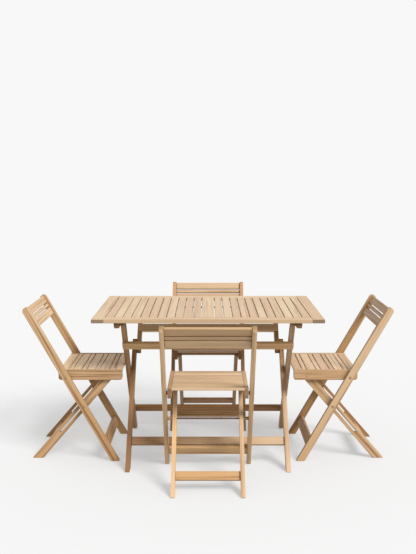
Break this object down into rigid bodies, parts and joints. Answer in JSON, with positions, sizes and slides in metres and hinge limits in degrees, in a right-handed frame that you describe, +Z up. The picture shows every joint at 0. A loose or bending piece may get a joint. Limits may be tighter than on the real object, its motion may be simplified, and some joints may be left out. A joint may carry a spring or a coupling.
{
  "type": "patio dining set",
  "caption": "Folding hardwood patio dining set: a slatted rectangular table on crossed legs with slatted folding chairs tucked in on every side.",
  "frame": {"origin": "on the floor under the middle of the whole set", "axes": "+X along the table's length to the right-hand chair, +Y across the table to the rear chair, +Z up"},
  "size_m": [1.8094, 1.3774, 0.771],
  "materials": {
    "light_hardwood": "oiled, satin",
    "brown_hardwood": "oiled, satin",
    "plated_metal": "dull plated"
  },
  "bodies": {
    "rear_chair_frame": {"rear_chair_long_leg_left": "brown_hardwood", "rear_chair_long_leg_right": "brown_hardwood", "rear_chair_back_slat_top": "light_hardwood", "rear_chair_back_slat_middle": "light_hardwood", "rear_chair_back_slat_bottom": "light_hardwood", "rear_chair_front_stretcher": "brown_hardwood", "rear_chair_seat_bolt_left": "plated_metal", "rear_chair_seat_bolt_right": "plated_metal"},
    "rear_chair_seat": {"rear_chair_seat": "light_hardwood"},
    "rear_chair_rear_legs": {"rear_chair_rear_leg_frame": "brown_hardwood"},
    "rear_chair_slot_rod": {"rear_chair_slot_rod": "plated_metal"},
    "front_chair_frame": {"front_chair_long_leg_left": "brown_hardwood", "front_chair_long_leg_right": "brown_hardwood", "front_chair_back_slat_top": "light_hardwood", "front_chair_back_slat_middle": "light_hardwood", "front_chair_back_slat_bottom": "light_hardwood", "front_chair_front_stretcher": "brown_hardwood", "front_chair_seat_bolt_left": "plated_metal", "front_chair_seat_bolt_right": "plated_metal"},
    "front_chair_seat": {"front_chair_seat": "light_hardwood"},
    "front_chair_rear_legs": {"front_chair_rear_leg_frame": "brown_hardwood"},
    "front_chair_slot_rod": {"front_chair_slot_rod": "plated_metal"},
    "left_chair_frame": {"left_chair_long_leg_left": "brown_hardwood", "left_chair_long_leg_right": "brown_hardwood", "left_chair_back_slat_top": "light_hardwood", "left_chair_back_slat_middle": "light_hardwood", "left_chair_back_slat_bottom": "light_hardwood", "left_chair_front_stretcher": "brown_hardwood", "left_chair_seat_bolt_left": "plated_metal", "left_chair_seat_bolt_right": "plated_metal"},
    "left_chair_seat": {"left_chair_seat": "light_hardwood"},
    "left_chair_rear_legs": {"left_chair_rear_leg_frame": "brown_hardwood"},
    "left_chair_slot_rod": {"left_chair_slot_rod": "plated_metal"},
    "right_chair_frame": {"right_chair_long_leg_left": "brown_hardwood", "right_chair_long_leg_right": "brown_hardwood", "right_chair_back_slat_top": "light_hardwood", "right_chair_back_slat_middle": "light_hardwood", "right_chair_back_slat_bottom": "light_hardwood", "right_chair_front_stretcher": "brown_hardwood", "right_chair_seat_bolt_left": "plated_metal", "right_chair_seat_bolt_right": "plated_metal"},
    "right_chair_seat": {"right_chair_seat": "light_hardwood"},
    "right_chair_rear_legs": {"right_chair_rear_leg_frame": "brown_hardwood"},
    "right_chair_slot_rod": {"right_chair_slot_rod": "plated_metal"},
    "table_outer_legs": {"table_outer_leg_left": "brown_hardwood", "table_outer_leg_right": "brown_hardwood", "table_upper_front_rail": "light_hardwood", "table_lower_rear_stretcher": "brown_hardwood", "table_cross_bolt_left": "plated_metal", "table_cross_bolt_right": "plated_metal", "table_hinge_bolt_left": "plated_metal", "table_hinge_bolt_right": "plated_metal"},
    "table_top": {"table_top": "light_hardwood", "table_batten_left": "brown_hardwood", "table_batten_right": "brown_hardwood", "table_brace_rod": "plated_metal"},
    "table_inner_legs": {"table_inner_leg_left": "brown_hardwood", "table_inner_leg_right": "brown_hardwood", "table_lower_front_stretcher": "brown_hardwood"},
    "table_brace": {"table_brace_frame": "brown_hardwood"}
  },
  "joints": [
    {"name": "rear_chair_fold", "type": "hinge", "parent": "rear_chair_frame", "child": "rear_chair_seat", "pos_m": [0, 0.483, 0.4226], "axis": [-1, 0, 0], "range_deg": [0, 119.38]},
    {"name": "rear_chair_rear_leg_fold", "type": "hinge", "parent": "rear_chair_seat", "child": "rear_chair_rear_legs", "pos_m": [0, 0.2723, 0.4234], "axis": [1, 0, 0], "range_deg": [0, 48.99]},
    {"name": "rear_chair_rod_slide", "type": "slide", "parent": "rear_chair_rear_legs", "child": "rear_chair_slot_rod", "axis": [0, 0.6536, -0.7568], "range_m": [0, 0.18463]},
    {"name": "front_chair_pull", "type": "slide", "parent": "rear_chair_frame", "child": "front_chair_frame", "axis": [0, -1, 0], "range_m": [0, 0.4]},
    {"name": "front_chair_fold", "type": "hinge", "parent": "front_chair_frame", "child": "front_chair_seat", "pos_m": [0, -0.483, 0.4226], "axis": [1, 0, 0], "range_deg": [0, 119.38]},
    {"name": "front_chair_rear_leg_fold", "type": "hinge", "parent": "front_chair_seat", "child": "front_chair_rear_legs", "pos_m": [0, -0.2723, 0.4234], "axis": [-1, 0, 0], "range_deg": [0, 48.99]},
    {"name": "front_chair_rod_slide", "type": "slide", "parent": "front_chair_rear_legs", "child": "front_chair_slot_rod", "axis": [0, -0.6536, -0.7568], "range_m": [0, 0.18463]},
    {"name": "left_chair_pull", "type": "slide", "parent": "rear_chair_frame", "child": "left_chair_frame", "axis": [-1, 0, 0], "range_m": [0, 0.4]},
    {"name": "left_chair_fold", "type": "hinge", "parent": "left_chair_frame", "child": "left_chair_seat", "pos_m": [-0.699, -0.014, 0.4226], "axis": [0, -1, 0], "range_deg": [0, 119.38]},
    {"name": "left_chair_rear_leg_fold", "type": "hinge", "parent": "left_chair_seat", "child": "left_chair_rear_legs", "pos_m": [-0.4883, -0.014, 0.4234], "axis": [0, 1, 0], "range_deg": [0, 48.99]},
    {"name": "left_chair_rod_slide", "type": "slide", "parent": "left_chair_rear_legs", "child": "left_chair_slot_rod", "axis": [-0.6536, 0, -0.7568], "range_m": [0, 0.18463]},
    {"name": "right_chair_pull", "type": "slide", "parent": "rear_chair_frame", "child": "right_chair_frame", "axis": [1, 0, 0], "range_m": [0, 0.4]},
    {"name": "right_chair_fold", "type": "hinge", "parent": "right_chair_frame", "child": "right_chair_seat", "pos_m": [0.699, -0.014, 0.4226], "axis": [0, 1, 0], "range_deg": [0, 119.38]},
    {"name": "right_chair_rear_leg_fold", "type": "hinge", "parent": "right_chair_seat", "child": "right_chair_rear_legs", "pos_m": [0.4883, -0.014, 0.4234], "axis": [0, -1, 0], "range_deg": [0, 48.99]},
    {"name": "right_chair_rod_slide", "type": "slide", "parent": "right_chair_rear_legs", "child": "right_chair_slot_rod", "axis": [0.6536, 0, -0.7568], "range_m": [0, 0.18463]},
    {"name": "table_lift", "type": "slide", "parent": "rear_chair_frame", "child": "table_outer_legs", "axis": [0, -0.1191, 0.9929], "range_m": [0, 0.4005]},
    {"name": "table_fold", "type": "hinge", "parent": "table_outer_legs", "child": "table_top", "pos_m": [0, -0.256, 0.697], "axis": [-1, 0, 0], "range_deg": [0, 51.88]},
    {"name": "table_inner_leg_fold", "type": "hinge", "parent": "table_outer_legs", "child": "table_inner_legs", "pos_m": [0, -0.02422, 0.40165], "axis": [1, 0, 0], "range_deg": [0, 76.84]},
    {"name": "table_brace_fold", "type": "hinge", "parent": "table_top", "child": "table_brace", "pos_m": [0, 0.2124, 0.697], "axis": [-1, 0, 0], "range_deg": [0, 51.32]}
  ],
  "couplings": [
    {"joint": "rear_chair_rear_leg_fold", "follows": "rear_chair_fold", "ratio": 0.41017},
    {"joint": "rear_chair_rod_slide", "follows": "rear_chair_fold", "m_per_rad": 0.088562},
    {"joint": "front_chair_rear_leg_fold", "follows": "front_chair_fold", "ratio": 0.41017},
    {"joint": "front_chair_rod_slide", "follows": "front_chair_fold", "m_per_rad": 0.088562},
    {"joint": "left_chair_rear_leg_fold", "follows": "left_chair_fold", "ratio": 0.41017},
    {"joint": "left_chair_rod_slide", "follows": "left_chair_fold", "m_per_rad": 0.088562},
    {"joint": "right_chair_rear_leg_fold", "follows": "right_chair_fold", "ratio": 0.41017},
    {"joint": "right_chair_rod_slide", "follows": "right_chair_fold", "m_per_rad": 0.088562},
    {"joint": "table_inner_leg_fold", "follows": "table_fold", "ratio": 1.4809},
    {"joint": "table_brace_fold", "follows": "table_fold", "ratio": 0.98891},
    {"joint": "table_lift", "follows": "table_fold", "m_per_rad": 0.44179}
  ]
}
